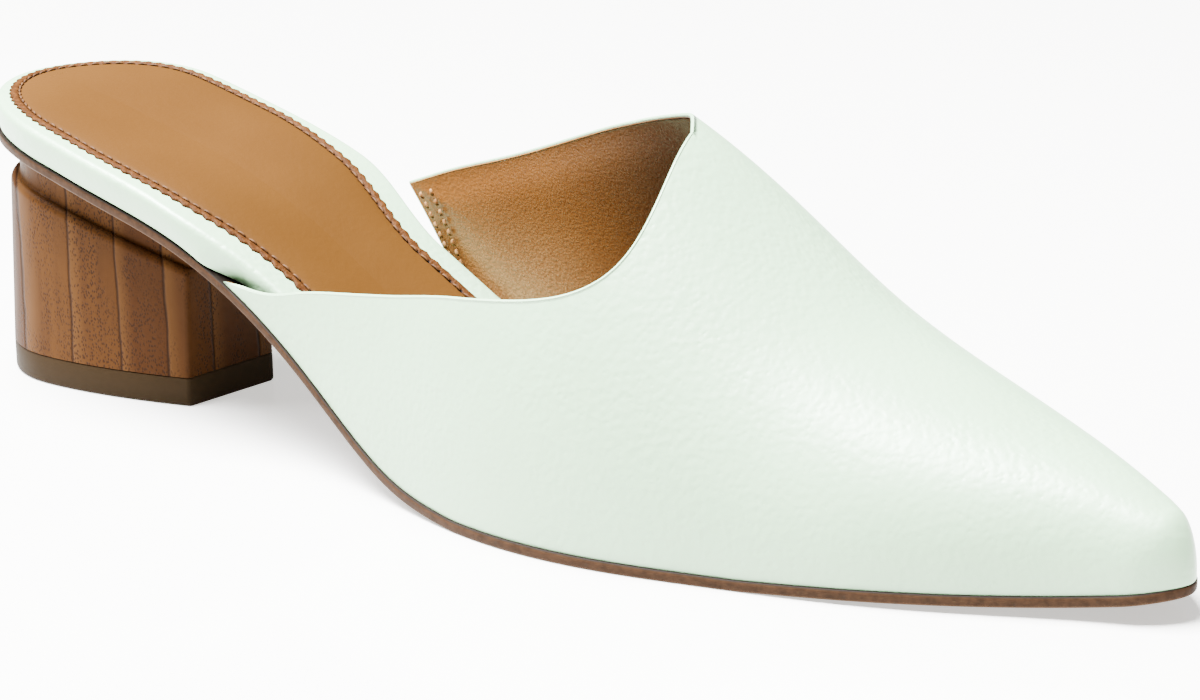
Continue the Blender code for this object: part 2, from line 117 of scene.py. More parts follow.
# The heel's cove above its ridge. cut is a share of the cove's depth, drop a share of the
# distance from the sole down to the ridge, and turn a share of the ridge's size.
coveTable = {
    "cut": (1.02, 1.00, 0.93, 0.80, 0.62),
    "drop": (0.70, 0.50, 0.30, 0.12, 0.00),
    "turn": (0.60, 0.00, 0.00, 0.00, 0.00),
}
# The lift's upper rings: height as a share of its own, and outset.
liftTop = {"height": (0.5, 0.93, 0.985, 1.0), "outset": (0.0, 0.0, -0.08, -0.2)}


def spline(xs, ys, x):
    # natural cubic through the points
    xs, ys, x = np.array(xs), np.array(ys), np.asarray(x, float)
    step = np.diff(xs)
    slope = np.diff(ys) / step
    matrix = np.eye(len(xs))
    right = np.zeros(len(xs))
    for i in range(1, len(xs) - 1):
        matrix[i, i - 1:i + 2] = step[i - 1], 2 * (step[i - 1] + step[i]), step[i]
        right[i] = 6 * (slope[i] - slope[i - 1])
    bend = np.linalg.solve(matrix, right)
    i = np.clip(np.searchsorted(xs, x) - 1, 0, len(step) - 1)
    before, after = xs[i + 1] - x, x - xs[i]
    cubic = (bend[i] * before ** 3 + bend[i + 1] * after ** 3) / (6 * step[i])
    line = (ys[i] / step[i] - bend[i] * step[i] / 6) * before
    return cubic + line + (ys[i + 1] / step[i] - bend[i + 1] * step[i] / 6) * after


def read(table, column, x):
    return spline(table["along"], table[column], np.asarray(x) / shoe["length"])


def easeIn(x, start, end):
    share = np.clip((x / shoe["length"] - start) / (end - start), 0, 1)
    return share ** 2 * (3 - 2 * share)


def middle(x):
    return shoe["ball"] * read(outlineTable, "middle", np.clip(x, 0, shoe["length"]))


def fullWidth(x):
    x = np.clip(x, 0, shoe["length"])
    return shoe["seat"] * read(outlineTable, "seat", x) + shoe["ball"] * read(outlineTable, "ball", x)


def halfWidth(x, backEnd=0.0, tipEnd=shoe["length"], outset=0.0):
    back = np.clip(1 - (x - backEnd) / (shoe["seatRound"] - backEnd), 0, 1)
    tip = np.clip(1 - (tipEnd - x) / shoe["toeRound"], 0, 1)
    return (fullWidth(x) / 2 + outset) * np.sqrt(1 - back ** 2) * np.sqrt(1 - tip ** 2)


def underside(x):
    seat = shoe["seatHeight"] * read(profileTable, "seat", x)
    toe = shoe["toeSpring"] * read(profileTable, "toe", x)
    return np.maximum(0, np.maximum(seat, toe))


def clearance(x):
    h = shoe["probe"]
    slope = (underside(x + h) - underside(x - h)) / (2 * h)
    return shoe["gap"] * np.sqrt(1 + slope ** 2)


def lastPoint(along, up, side):
    # an arch over each station: across it runs as a cosine and up as a sine, each raised to
    # 2 / fullness, between the sole's edge and the crown
    x = np.minimum(along, 1) * shoe["length"]
    half = halfWidth(x, outset=-upper["feather"])
    ridge = shoe["ball"] * read(lastTable, "ridge", x)
    low = underside(x) + outsole["thick"] + clearance(x)
    crown = shoe["instep"] * read(lastTable, "instep", x)
    crown = crown + (low + shoe["toeDepth"]) * read(lastTable, "tip", x)
    nose = np.clip(1 - (shoe["length"] - x) / shoe["noseRound"], 0, 1)
    rise = (crown - low) * np.sqrt(1 - nose ** 2)
    power = 2 / read(lastTable, "fullness", x)
    reach = half - side * ridge
    y = middle(x) + ridge + side * reach * np.cos(up * math.pi / 2).clip(0) ** power
    z = low + rise * np.sin(up * math.pi / 2).clip(0) ** power
    return np.stack([x - shoe["setback"], y, z], -1)


def unit(v):
    return v / np.maximum(np.linalg.norm(v, axis=-1), 1e-12)[..., None]


def runLength(line):
    return np.concatenate([[0], np.cumsum(np.linalg.norm(np.diff(line, axis=0), axis=1))])


def quarters(count):
    # angles through a quarter turn
    return np.linspace(0, math.pi / 2, count)


def lastNormal(along, up, side):
    step = 1e-4
    alongAt = np.clip(along, step, 1 - 2 * step)
    forward = lastPoint(alongAt + step, up, side) - lastPoint(alongAt - step, up, side)
    lowUp, highUp = np.maximum(up - step, 0), np.minimum(up + step, 1)
    across = lastPoint(alongAt, highUp, side) - lastPoint(alongAt, lowUp, side)
    normal = unit(np.cross(forward, across) * -side)
    normal[up >= 1, 1] = 0
    normal[along >= 1] = (1, 0, 0)
    return unit(normal)


def signedVolume(points, quads):
    a, b, c, d = (points[quads[:, k]] for k in range(4))
    return (np.einsum("ij,ij->i", a, np.cross(b, c)) + np.einsum("ij,ij->i", a, np.cross(c, d))).sum()


def addMesh(name, points, quads, nodes=(), values=None, sharp=None, outward=None):
    quads = np.asarray(quads)
    if outward is None:
        flip = signedVolume(points - points.mean(0), quads) < 0
    else:
        at = quads[len(quads) // 2]
        turn = np.cross(points[at[2]] - points[at[0]], points[at[3]] - points[at[1]])
        flip = turn @ outward(at[0]) < 0
    if flip:
        quads = quads[:, ::-1]
    used, order = np.unique(quads, return_inverse=True)
    faces = [tuple(dict.fromkeys(q)) for q in order.reshape(quads.shape).tolist()]
    mesh = bpy.data.meshes.new(name)
    mesh.from_pydata((points[used] * mm).tolist(), [], [f for f in faces if len(f) > 2])
    mesh.shade_smooth()
    if sharp:
        mesh.set_sharp_from_angle(angle=math.radians(sharp))
    for key, value in (values or {}).items():
        mesh.attributes.new(key, "FLOAT", "POINT").data.foreach_set("value", value[used].astype("f4"))
    piece = bpy.data.objects.new(name, mesh)
    bpy.context.scene.collection.objects.link(piece)
    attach(piece, "root")
    if nodes:
        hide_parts(*nodes)
    return piece


def gridQuads(index, wrap=False):
    if wrap:
        index = np.concatenate([index, index[:, :1]], 1)
    a, b, c, d = index[:-1, :-1], index[:-1, 1:], index[1:, 1:], index[1:, :-1]
    return np.stack([a, b, c, d], -1).reshape(-1, 4)


# Upper: two half grids that meet on the crown, a folded edge round the collar, and a lining.

def toplinePoints(table, count):
    length = runLength(np.column_stack([table["along"], table["up"]]))
    at = np.linspace(0, length[-1], count)
    return [spline(length, table[column], at) for column in ("along", "up", "foot")]


def halfUpper(topline, side):
    along, up, foot = toplinePoints(topline, upper["wingRows"])
    front = np.sin(np.linspace(0, math.pi / 2, upper["vampRows"]))[1:]
    along = np.concatenate([along, along[-1] + (1 - along[-1]) * front])
    up = np.concatenate([up, np.ones(len(front))])
    foot = np.concatenate([foot, foot[-1] + (1 - foot[-1]) * front])
    share = np.linspace(0, 1, upper["columns"])
    across = foot[:, None] + (along - foot)[:, None] * share
    height = up[:, None] * share
    return lastPoint(across, height, side), lastNormal(across, height, side)


def collarPath(index):
    # vertex numbers from the outer wing's foot, round the topline, to the inner wing's foot
    last = upper["columns"] - 1
    wing = upper["wingRows"]
    return np.concatenate([index[0, :last], index[:wing, last], index[wing - 2::-1, last + 1],
                           index[0, last + 2:]])


def collarFrame(points, normals, path):
    at, n = points[path], normals[path]
    t = unit(np.gradient(at, axis=0))
    n = unit(n - t * (n * t).sum(-1)[:, None])
    return at, n, np.cross(t, n)


outerHalf, innerHalf = halfUpper(outerTopline, -1), halfUpper(innerTopline, 1)
skin, skinNormal = [np.concatenate([a, b[:, ::-1]], 1) for a, b in zip(outerHalf, innerHalf)]
rows, columns = skin.shape[:2]
cells = np.arange(rows * columns).reshape(rows, columns)
cells[upper["wingRows"] - 1:, upper["columns"]] = cells[upper["wingRows"] - 1:, upper["columns"] - 1]
cells[-1] = cells[-1, 0]
skinPoints, skinNormals = skin.reshape(-1, 3), skinNormal.reshape(-1, 3)
path = collarPath(cells)
pathAt, pathNormal, pathOut = collarFrame(skinPoints, skinNormals, path)
# pathOut points away from the leather, which is checked at one row of the outer wing
nextCell, edgeCell = cells[upper["sideRow"], upper["columns"] - 2:upper["columns"]]
if pathOut[np.where(path == edgeCell)[0][0]] @ (skinPoints[nextCell] - skinPoints[edgeCell]) > 0:
    pathOut = -pathOut


def halfQuads(grid):
    c = upper["columns"]
    return np.concatenate([gridQuads(grid[:, :c]), gridQuads(grid[:, c:])])


def wallDepth():
    # the wall thins towards the collar, by the distance of each point from the nearest edge point
    edge = pathAt[::3]
    away = np.concatenate([np.linalg.norm(part[:, None] - edge[None], axis=2).min(1)
                           for part in np.array_split(skinPoints, 12)])
    thin = 2 * upper["fold"] + upper["thinned"]
    return thin + (upper["wall"] - thin) * (1 - np.exp(-(away / upper["skived"]) ** 2))


def hem(points, quads, before, rings):
    # adds rings of points one after another, starting from the vertices numbered in before
    count = sum(len(part) for part in points)
    for ring in rings:
        after = np.arange(len(ring)) + count
        points.append(ring)
        quads.append(gridQuads(np.stack([before, after])))
        before, count = after, count + len(ring)


def buildShell():
    # the edge is folded inwards round the collar, and the feathered edge tucks under on the sole
    r = upper["fold"]
    turn = np.linspace(0, math.pi, upper["foldSteps"] + 1)[1:]
    rings = [(r * math.sin(a), -r + r * math.cos(a)) for a in turn]
    rings += [(-back, -2 * r) for back in upper["foldBack"]]
    away = np.linalg.norm(pathAt - pathAt[0], axis=1)
    fade = np.clip(away / upper["foldGrows"], upper["foldLeast"], 1)[:, None]
    points, quads = [skinPoints], [halfQuads(cells)]
    hem(points, quads, path,
        [pathAt + (pathOut * out + pathNormal * deep) * fade for out, deep in rings])
    for edge in (cells[:, 0], cells[::-1, -1]):
        foot = skinPoints[edge] - skinNormals[edge] * upper["tuck"] - (0, 0, upper["sink"])
        hem(points, quads, edge, [foot])
    return addMesh("upperShell", np.concatenate(points), np.concatenate(quads),
                   ["upper"], outward=lambda i: skinNormals[i])


def buildLining():
    inside = skinPoints - skinNormals * wallDepth()[:, None]
    edge = pathAt - pathOut * upper["bare"] - pathNormal * (2 * upper["fold"] + upper["behind"])
    inside[path] = edge
    points, quads = [inside], [halfQuads(cells)]
    hem(points, quads, path,
        [edge + pathOut * out - pathNormal * deep for out, deep in upper["liningLip"]])
    return addMesh("upperLining", np.concatenate(points), np.concatenate(quads),
                   outward=lambda i: -skinNormals[i])


# Sole layers: a loop of width stations with rings of (outset, height), lowest first.

def layerOutline(stations, tipEnd, outset, shift):
    backEnd = -outset(np.zeros(1), 0)[0]
    tipEnd = tipEnd + outset(np.full(1, float(shoe["length"])), 0)[0]
    turn = np.linspace(0, math.pi, stations)
    x = backEnd + (tipEnd - backEnd) * (1 - np.cos(turn)) / 2
    half = [halfWidth(x, backEnd, tipEnd, outset(x, side)) for side in (0, 1)]
    y = middle(x) + shift(x)
    outer, inner = np.column_stack([x, y - half[0]]), np.column_stack([x, y + half[1]])
    return np.concatenate([outer, inner[-2:0:-1]])


def lifted(plan, height):
    return np.column_stack([plan[:, 0] - shoe["setback"], plan[:, 1], height(plan[:, 0])])


def layer(name, stations, tipEnd, rings, node, shift, levels=None):
    points = [lifted(layerOutline(stations, tipEnd, outset, shift), height) for outset, height in rings]
    count = len(points[0])
    closing = (0.12, 0.3, 0.5)          # at a half, a ring lies on the middle line
    for ring, height in ((0, rings[0][1]), (-1, rings[-1][1])):
        plan = points[ring][:, :2] + (shoe["setback"], 0)
        mirror = plan[(-np.arange(count)) % count]
        filling = [lifted(plan + (mirror - plan) * s, height) for s in closing]
        points = filling[::-1] + points if ring == 0 else points + filling
    values = None
    if levels:
        ends = [levels[0]] * len(closing), [levels[-1]] * len(closing)
        values = {"level": np.repeat([*ends[0], *levels, *ends[1]], count)}
    index = np.arange(len(points) * count).reshape(len(points), count)
    return addMesh(name, np.concatenate(points), gridQuads(index, True), [node], values)


def flat(amount):
    return lambda x, side=0: np.full_like(x, amount, dtype=float)


def buildOutsole():
    c, top, thick = outsole["corner"], outsole["topCorner"], outsole["thick"]
    rings, levels = [], []
    for a in quarters(6):
        rings.append((flat(c * (math.sin(a) - 1)), lambda x, a=a: underside(x) + c * (1 - math.cos(a))))
        levels.append(outsole["lowLevel"] * a / (math.pi / 2))
    for s in (0.4, 0.6, 0.8):
        rings.append((flat(outsole["bulge"]), lambda x, s=s: underside(x) + thick * s))
        levels.append(s)
    for a in quarters(4):
        rings.append((flat(-top * (1 - math.cos(a))),
                      lambda x, a=a: underside(x) + thick - top * (1 - math.sin(a))))
        levels.append(outsole["highLevel"] + (1 - outsole["highLevel"]) * a / (math.pi / 2))
    return layer("outsoleLayer", outsole["stations"], shoe["length"], rings, "outsole",
                 flat(0.0), levels)


def footbedShift(x):
    return footbed["shift"] * (1 - easeIn(x, *footbed["topDraws"][0]))


def seatProud(x):
    grown = 1 - np.exp(-np.clip(x, 0, None) / footbed["grow"])
    return footbed["atBack"] + (footbed["proud"] - footbed["atBack"]) * grown


def footbedOutset(x, side):
    inside = upper["feather"] + upper["wall"] + footbed["ease"]
    return seatProud(x) - (seatProud(x) + inside) * easeIn(x, *footbed["topDraws"][side])


def footbedFoot(x, side):
    inside = upper["feather"] + upper["wall"] + footbed["ease"]
    proud = seatProud(x) / 2
    return proud - (proud + inside) * easeIn(x, *footbed["footDraws"][side])


def footbedBase(x):
    return underside(x) + outsole["thick"] + clearance(x)


def footbedTop(x):
    drop = (footbed["thin"] - footbed["thick"]) * easeIn(x, footbed["thinsFrom"], footbed["thinsTo"])
    return footbedBase(x) + footbed["thick"] + drop


def buildFootbed():
    r, low, rise = footbed["corner"], footbed["underCorner"], footbed["underRise"]

    def bottom(x):
        return footbedBase(x) - footbed["sunk"]

    def underRing(a):
        return (lambda x, side: footbedFoot(x, side) - low + low * math.sin(a),
                lambda x: bottom(x) + rise * (1 - math.cos(a)))

    def wallRing(s):
        return (lambda x, side: footbedFoot(x, side) * (1 - s) + footbedOutset(x, side) * s
                + footbed["bulge"] * math.sin(math.pi * s),
                lambda x: bottom(x) + rise + (footbedTop(x) - r - bottom(x) - rise) * s)

    def topRing(a):
        return (lambda x, side: footbedOutset(x, side) - r * (1 - math.cos(a)),
                lambda x: footbedTop(x) - r * (1 - math.sin(a)))

    rings = [underRing(a) for a in quarters(7)]
    rings += [wallRing(s) for s in (0.3, 0.6, 0.85, 1.0)]
    rings += [topRing(a) for a in quarters(8)[1:]]
    return layer("footbedWrap", footbed["stations"], shoe["length"] - footbed["shorter"], rings,
                 "footbed", footbedShift)


# Sock: rings run inwards from a toothed edge, square to its smooth outline.

def evenLoop(loop, count):
    closed = np.vstack([loop, loop[:1]])
    length = runLength(closed)
    at = np.linspace(0, length[-1], count, endpoint=False)
    return np.column_stack([np.interp(at, length, closed[:, k]) for k in (0, 1)]), length[-1]


def sockOutset(x, side):
    return footbedOutset(x, side) - sock["margin"] - sock["waist"][side] * easeIn(x, *sock["draws"])


def sockLoop():
    # the edge's outline, its inward normals and its length
    loop = layerOutline(sock["stations"], shoe["length"] - footbed["shorter"], sockOutset, footbedShift)
    loop, length = evenLoop(loop, sock["steps"])
    t = unit(np.roll(loop, -3, 0) - np.roll(loop, 3, 0))
    return loop, np.stack([-t[:, 1], t[:, 0]], -1), length


def onFootbed(plan, up):
    return np.column_stack([plan[:, 0] - shoe["setback"], plan[:, 1], footbedTop(plan[:, 0]) + up])


def buildSock():
    loop, inward, length = sockLoop()
    beat = np.abs(np.arange(len(loop)) / len(loop) * round(length / sock["tooth"]) % 1 - 0.5)
    pinked = np.clip((sock["pinkedTo"] + shoe["setback"] - loop[:, 0]) / sock["pinkFade"], 0, 1)
    bite = sock["deep"] * (1 - 4 * beat) * pinked
    rings, insets = [], list(sockRings["inset"])
    for inset, up in zip(sockRings["inset"], sockRings["up"]):
        fade = max(0.0, 1 - inset / sock["biteFade"])
        rings.append(onFootbed(loop + inward * (inset + bite * fade)[:, None], up))
    # the last rings close on the footbed's middle line
    wide, high = sockRings["inset"][-1], sockRings["up"][-1]
    edge = loop + inward * wide
    x = np.clip(loop[:, 0], *sock["core"])
    core = np.column_stack([x, middle(x)])
    for s in (0.2, 0.45, 0.7, 1.0):
        rings.append(onFootbed(edge + (core - edge) * s, high - sock["dip"] * s))
        insets.append(wide + 10 * s)
    index = np.arange(len(rings) * len(loop)).reshape(len(rings), -1)
    return addMesh("sockLeather", np.concatenate(rings), gridQuads(index, True),
                   ["sock"], {"inset": np.repeat(insets, len(loop)), "beat": np.tile(beat, len(rings))},
                   outward=lambda i: np.array([0, 0, 1.0]))


def capsules(name, starts, ends, normals, radius, slotName):
    # each stitch is a bent, round-ended tube between two points
    around = np.linspace(0, 2 * math.pi, stitch["around"], endpoint=False)
    along = np.linspace(0, math.pi, stitch["along"])
    index = np.arange(len(along) * len(around)).reshape(len(along), -1)
    r = (radius * np.sin(along) ** stitch["blunt"])[:, None, None]
    arch = (radius * np.sin(along) - stitch["sag"] * radius)[:, None]
    share = ((1 - np.cos(along)) / 2)[:, None]
    points, quads = [], []
    for k, (a, b, n) in enumerate(zip(starts, ends, normals)):
        side = unit(np.cross(n, unit(b - a)))
        up = np.cross(unit(b - a), side)
        centre = a + (b - a) * share + up * arch
        circle = side * np.cos(around)[:, None] + up * np.sin(around)[:, None]
        points.append((centre[:, None] + r * circle[None]).reshape(-1, 3))
        quads.append(gridQuads(index, True) + k * index.size)
    return addMesh(name, np.concatenate(points), np.concatenate(quads))


def buildSockStitches():
    # one stitch between every two teeth, in the groove of the seam
    loop, inward, length = sockLoop()
    line = evenLoop(loop + inward * sock["seam"], round(length / sock["tooth"]) * 2)[0]
    t = unit(np.roll(line, -1, 0) - np.roll(line, 1, 0))
    keep = np.arange(0, len(line), 2)
    keep = keep[line[keep, 0] - shoe["setback"] < sockSeam["endsAt"]]
    reach = sockSeam["reach"] * sock["tooth"] * t[keep]
    starts, ends = (onFootbed(line[keep] + way * reach, sockSeam["up"]) for way in (-1, 1))
    upwards = np.tile((0, 0, 1.0), (len(keep), 1))
    return capsules("sockStitches", starts, ends, upwards, sockSeam["radius"], "tan_leather")


def buildWingStitches():
    # two rows down the inner wing's lining, side by side behind its folded back edge
    last = upper["columns"] - 1
    starts, ends, normals = [], [], []
    for row in wingSeam["rows"]:
        place, inwards = innerHalf[0][row], -innerHalf[1][row]
        line = place + inwards * (upper["wall"] + wingSeam["up"])
        length = runLength(line)
        for at in np.arange(wingSeam["top"], length[-1] - wingSeam["foot"], wingSeam["pitch"]):
            for found, s in ((starts, at - wingSeam["reach"]), (ends, at + wingSeam["reach"])):
                found.append([np.interp(s, length, line[:, k]) for k in range(3)])
            normals.append(inwards[min(int(at / length[-1] * (last + 1)), last)])
    return capsules("wingStitches", *map(np.array, (starts, ends, normals)), wingSeam["radius"],
                    "tan_leather")


# Heel block and top lift

def heelPart(ring):
    # 0 at the back of the block, 1 at its breast
    return np.clip((ring[:, 0] + heel["back"]) / heel["length"], 0, 1)


def heelRing(outset):
    turn = quarters(heel["steps"])
    share = 1 - np.cos(turn)
    widest = heel["backRound"] / heel["length"]
    back = np.clip(1 - share / widest, 0, 1)
    front = np.clip((share - widest) / (1 - widest), 0, 1)
    half = heel["width"] / 2 * np.sqrt(1 - back ** 2)
    half = half * (1 - (1 - heel["breast"] / heel["width"]) * front ** heel["taper"])
    side = np.stack([share * heel["length"] - heel["back"], half], -1)
    loop = np.concatenate([side[::-1] * (1, -1), side[1:]])
    along = unit(np.gradient(loop, axis=0))
    normal = np.stack([-along[:, 1], along[:, 0]], -1)
    loop = loop + normal * np.broadcast_to(outset(heelPart(loop)), len(loop))[:, None]
    loop[[0, -1], 0] = loop[[0, -1], 0].mean()
    # the two corners of the breast are cut off a little
    c = heel["corner"]
    first, last = loop[0].copy(), loop[-1].copy()
    loop[0] = first - unit(first - loop[1]) * c
    loop[-1] = last - unit(last - loop[-2]) * c
    inward = unit(first - last) * c
    start, end = last + inward, first - inward
    breast = start + (end - start) * np.linspace(0, 1, heel["breastSteps"])[:, None]
    loop = np.concatenate([loop, breast])
    angle = -math.radians(heel["turn"])
    cos, sin = math.cos(angle), math.sin(angle)
    return loop @ np.array([[cos, sin], [-sin, cos]])


def prism(name, rings, node):
    # Each end runs in to a share of its outline and is open inside that. The lift covers the
    # block's foot, the sole its top, and the floor the lift's own open face.
    caps = []
    share = prismEnds["share"]
    for ring in (rings[0], rings[-1]):
        cap = ring.copy()
        cap[:, :2] = ring[:, :2].mean(0) * (1 - share) + ring[:, :2] * share
        caps.append(cap)
    points = [caps[0], *rings, caps[1]]
    index = np.arange(len(points) * len(rings[0])).reshape(len(points), -1)
    return addMesh(name, np.concatenate(points), gridQuads(index, True), [node],
                   sharp=prismEnds["sharp"])


def coveRows():
    # a rounded ridge, a quarter hollow behind it, then the table's rows up to the sole
    cut, up = heel["roundCut"], heel["roundUp"]
    rows = [(0.0, 1.0, 0.0)]
    rows += [((1 - math.cos(a)) * cut, 1.0, up * math.sin(a)) for a in quarters(9)[1:]]
    rows += [(cut + (1 - cut) * math.sin(a), 1.0, up + heel["hollowUp"] * (1 - math.cos(a)))
             for a in quarters(7)[1:]]
    return rows + list(zip(coveTable["cut"], coveTable["drop"], coveTable["turn"]))


def buildHeel():
    def wall(amount):
        return lambda share: amount * (1 - (1 - heel["breastShare"]) * share)

    def ceiling(ring):
        return underside(ring[:, 0] + shoe["setback"]) - heel["under"]

    def ridgeDrop(ring):
        return heel["coveBack"] + (heel["coveFront"] - heel["coveBack"]) * heelPart(ring)

    foot = heelRing(wall(0.0))
    rings = [np.column_stack([foot, np.full(len(foot), lift["height"] + heel["seated"])])]
    for s in (0.02, 0.2, 0.4, 0.6, 0.8, 0.95):
        ring = heelRing(wall(-heel["draft"] * s))
        top = ceiling(ring) - ridgeDrop(ring)
        rings.append(np.column_stack([ring, lift["height"] + (top - lift["height"]) * s]))
    for cut, drop, turn in coveRows():
        ring = heelRing(wall(-heel["draft"] - cut * heel["coveDepth"]))
        height = ceiling(ring) - drop * ridgeDrop(ring) + turn * heel["ridge"]
        rings.append(np.column_stack([ring, height]))
    return prism("heelBlock", rings, "heel")


def buildLift():
    c = lift["corner"]
    profile = [(-c * (1 - math.sin(a)), c * (1 - math.cos(a))) for a in quarters(6)]
    profile += [(outset, lift["height"] * height) for height, outset in zip(*liftTop.values())]
    rings = []
    for outset, height in profile:
        ring = heelRing(lambda share: outset)
        rings.append(np.column_stack([ring, np.full(len(ring), height)]))
    return prism("liftRubber", rings, "top_lift")


pieces = {"shell": buildShell(), "lining": buildLining(), "outsole": buildOutsole(),
          "footbed": buildFootbed(), "sock": buildSock(), "sockStitches": buildSockStitches(),
          "wingStitches": buildWingStitches(), "heel": buildHeel(), "lift": buildLift()}
print("pieces", {key: len(piece.data.polygons) for key, piece in pieces.items()})


# Materials

class Wire:
    def __init__(self, graph, socket):
        self.graph, self.socket = graph, socket

    def __add__(self, other): return self.graph.maths("ADD", self, other)
    def __radd__(self, other): return self.graph.maths("ADD", other, self)
    def __sub__(self, other): return self.graph.maths("SUBTRACT", self, other)
    def __mul__(self, other): return self.graph.maths("MULTIPLY", self, other)
    def __rmul__(self, other): return self.graph.maths("MULTIPLY", other, self)
    def __truediv__(self, other): return self.graph.maths("DIVIDE", self, other)
    def __mod__(self, other): return self.graph.maths("FLOORED_MODULO", self, other)


class Graph:
    def __init__(self, name):
        self.material = bpy.data.materials.new(name)
        self.material.use_nodes = True
        self.tree = self.material.node_tree
        self.shader = self.tree.nodes["Principled BSDF"]

    def put(self, socket, value):
        if isinstance(value, Wire):
            self.tree.links.new(value.socket, socket)
        elif isinstance(value, (tuple, list)) and len(value) == 3 and socket.type == "RGBA":
            socket.default_value = (*value, 1)
        else:
            socket.default_value = value

    def node(self, kind, settings=None, inputs=None, output=0):
        made = self.tree.nodes.new(kind)
        for key, value in (settings or {}).items():
            setattr(made, key, value)
        for key, value in (inputs or {}).items():
            self.put(made.inputs[key], value)
        return Wire(self, made.outputs[output])

    def maths(self, operation, *values):
        return self.node("ShaderNodeMath", {"operation": operation}, dict(enumerate(values)))

    def vector(self, operation, a, b):
        return self.node("ShaderNodeVectorMath", {"operation": operation}, {0: a, 1: b})

    def smooth(self, value, low, high, start=0.0, end=1.0):
        return self.node("ShaderNodeMapRange", {"interpolation_type": "SMOOTHSTEP"},
                         {0: value, 1: low, 2: high, 3: start, 4: end})

    def fades(self, value, full, none, most=1.0):
        # most up to full, then down to 0 at none
        return self.smooth(value, full, none, most, 0.0)

    def near(self, value, centre, full, none, most=1.0):
        return self.fades(self.maths("ABSOLUTE", value - centre), full, none, most)

    def mix(self, factor, a, b):
        return self.node("ShaderNodeMix", {"data_type": "RGBA"}, {0: factor, 6: a, 7: b}, output=2)

    def blend(self, value, low, high, a, b):
        return self.mix(self.smooth(value, low, high), a, b)

    def place(self, stretch=(1, 1, 1)):
        return self.vector("MULTIPLY", self.node("ShaderNodeTexCoord", output=3), stretch)

    def noise(self, where, scale, detail=3.0, rough=0.5, output=0):
        return self.node("ShaderNodeTexNoise", None, {"Vector": where, "Scale": scale, "Detail": detail,
                                                      "Roughness": rough}, output)

    def cellular(self, where, scale, feature="F1"):
        return self.node("ShaderNodeTexVoronoi", {"feature": feature}, {"Vector": where, "Scale": scale})

    def value(self, name):
        return self.node("ShaderNodeAttribute", {"attribute_name": name}, output=2)

    def axis(self, where, k):
        return self.node("ShaderNodeSeparateXYZ", None, {0: where}, output=k)

    def bump(self, height, strength, distance):
        return self.node("ShaderNodeBump", None, {"Height": height, "Strength": strength,
                                                  "Distance": distance})

    def finish(self, **inputs):
        for key, value in inputs.items():
            self.put(self.shader.inputs[key.replace("_", " ")], value)
        return self.material


def warped(g, where, scale, amount):
    # moves the place about a little, so that a pattern on it bends
    drift = g.vector("SUBTRACT", g.noise(where, scale, detail=2.0, output=1), (0.5,) * 3)
    return g.vector("ADD", where, g.vector("MULTIPLY", drift, (amount,) * 3))


def mintLeather():
    # a fine grain that is stronger in some patches, over a very soft unevenness
    g = Graph("mintLeather")
    where = g.place()
    soft = g.noise(where, scale=38)
    fine = g.noise(where, scale=900)
    grain = g.cellular(warped(g, where, scale=300, amount=0.0012), scale=760, feature="SMOOTH_F1")
    patch = g.smooth(g.noise(where, scale=30, detail=2), 0.35, 0.7, 0.45, 1.0)
    height = grain * patch * 2.2 + fine * 0.4 + soft * 3.0
    tint = g.blend(soft, 0.3, 0.7, (0.220, 0.362, 0.214), (0.232, 0.380, 0.226))
    return g.finish(Base_Color=tint, Roughness=0.32 + 0.12 * fine, Specular_IOR_Level=0.55,
                    Normal=g.bump(height, strength=0.5, distance=0.00016))


def liningLeather():
    # tan grain, with a painted highlight that makes it paler low on the wing beside the footbed, and
    # painted shade that makes it deeper towards the toe
    g = Graph("liningLeather")
    where = g.place()
    forward, height = g.axis(where, 0), g.axis(where, 2)
    grain = g.cellular(warped(g, where, scale=700, amount=0.0006), scale=2000, feature="SMOOTH_F1")
    fold = g.noise(g.place((1, 1, 2.4)), scale=900, detail=4, rough=0.6)
    broad = g.noise(where, scale=40, detail=2)
    # painted highlight: a paler sheen low on the wing beside the footbed, where the light falls
    paintedSheen = g.fades(height, 0.022, 0.044) * g.near(forward, 0.080, 0.002, 0.024)
    # painted shade: darker deep inside the shoe towards the toe, under the vamp
    deep = g.smooth(forward, 0.080, 0.122)
    shade = g.blend(broad, 0.3, 0.7, (0.135, 0.050, 0.0085), (0.155, 0.060, 0.0110))
    shade = g.mix(g.smooth(grain, 0.35, 0.75, 0.0, 0.5), shade, (0.095, 0.033, 0.0050))
    shade = g.mix(paintedSheen * g.smooth(grain, 0.1, 0.6, 0.50, 0.20), shade, (0.26, 0.150, 0.066))
    shade = g.mix(deep * 0.9, shade, (0.022, 0.0052, 0.0005))
    return g.finish(Base_Color=shade, Roughness=0.30 + 0.15 * fold, Specular_IOR_Level=0.35,
                    Normal=g.bump(fold * 0.8 - grain, strength=0.35, distance=0.00018))


